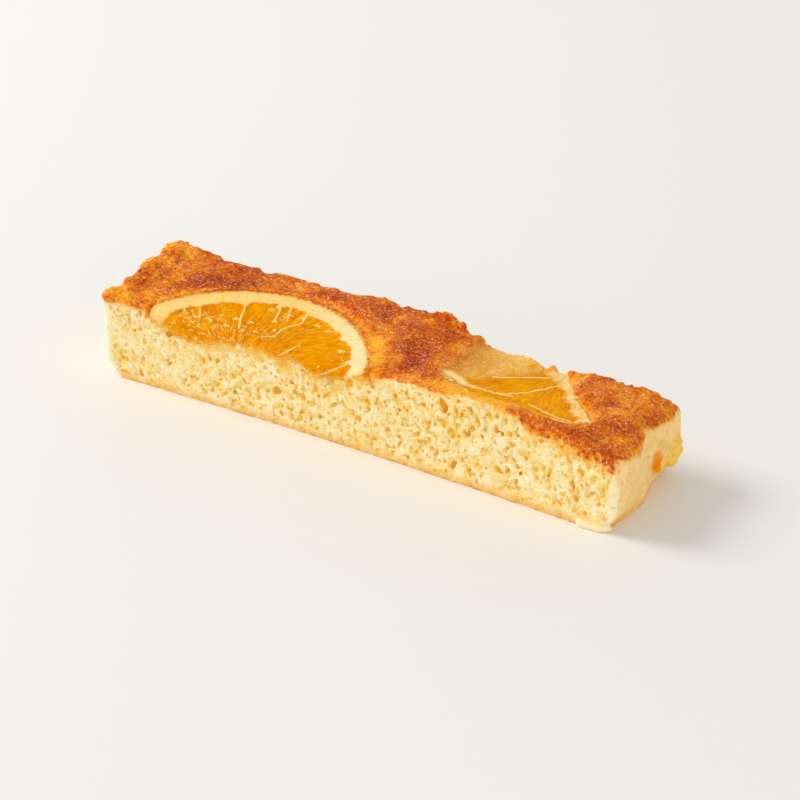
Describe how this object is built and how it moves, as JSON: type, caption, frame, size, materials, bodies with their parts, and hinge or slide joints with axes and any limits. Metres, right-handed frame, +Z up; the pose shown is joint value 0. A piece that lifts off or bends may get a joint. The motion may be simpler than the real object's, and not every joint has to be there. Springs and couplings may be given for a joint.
{
  "type": "orange cake bar",
  "caption": "Cut bar of soft yellow sponge cake with a browned top crust and round orange slices baked into it, lying on its flat base as a serving of dessert.",
  "frame": {"origin": "middle of the bar on the surface it lies on", "axes": "+X along the bar towards the end with the sunken slice, +Y from the cut face that shows the slice's cut edge towards the opposite cut face, +Z up through the crust"},
  "size_m": [0.1362, 0.032, 0.0231],
  "materials": {
    "sponge": "matt open crumb under a browned crust",
    "orange_flesh": "moist, glossy"
  },
  "bodies": {
    "root": {"sponge": "sponge", "orange_slice_left": "orange_flesh", "orange_slice_right": "orange_flesh"}
  },
  "joints": []
}
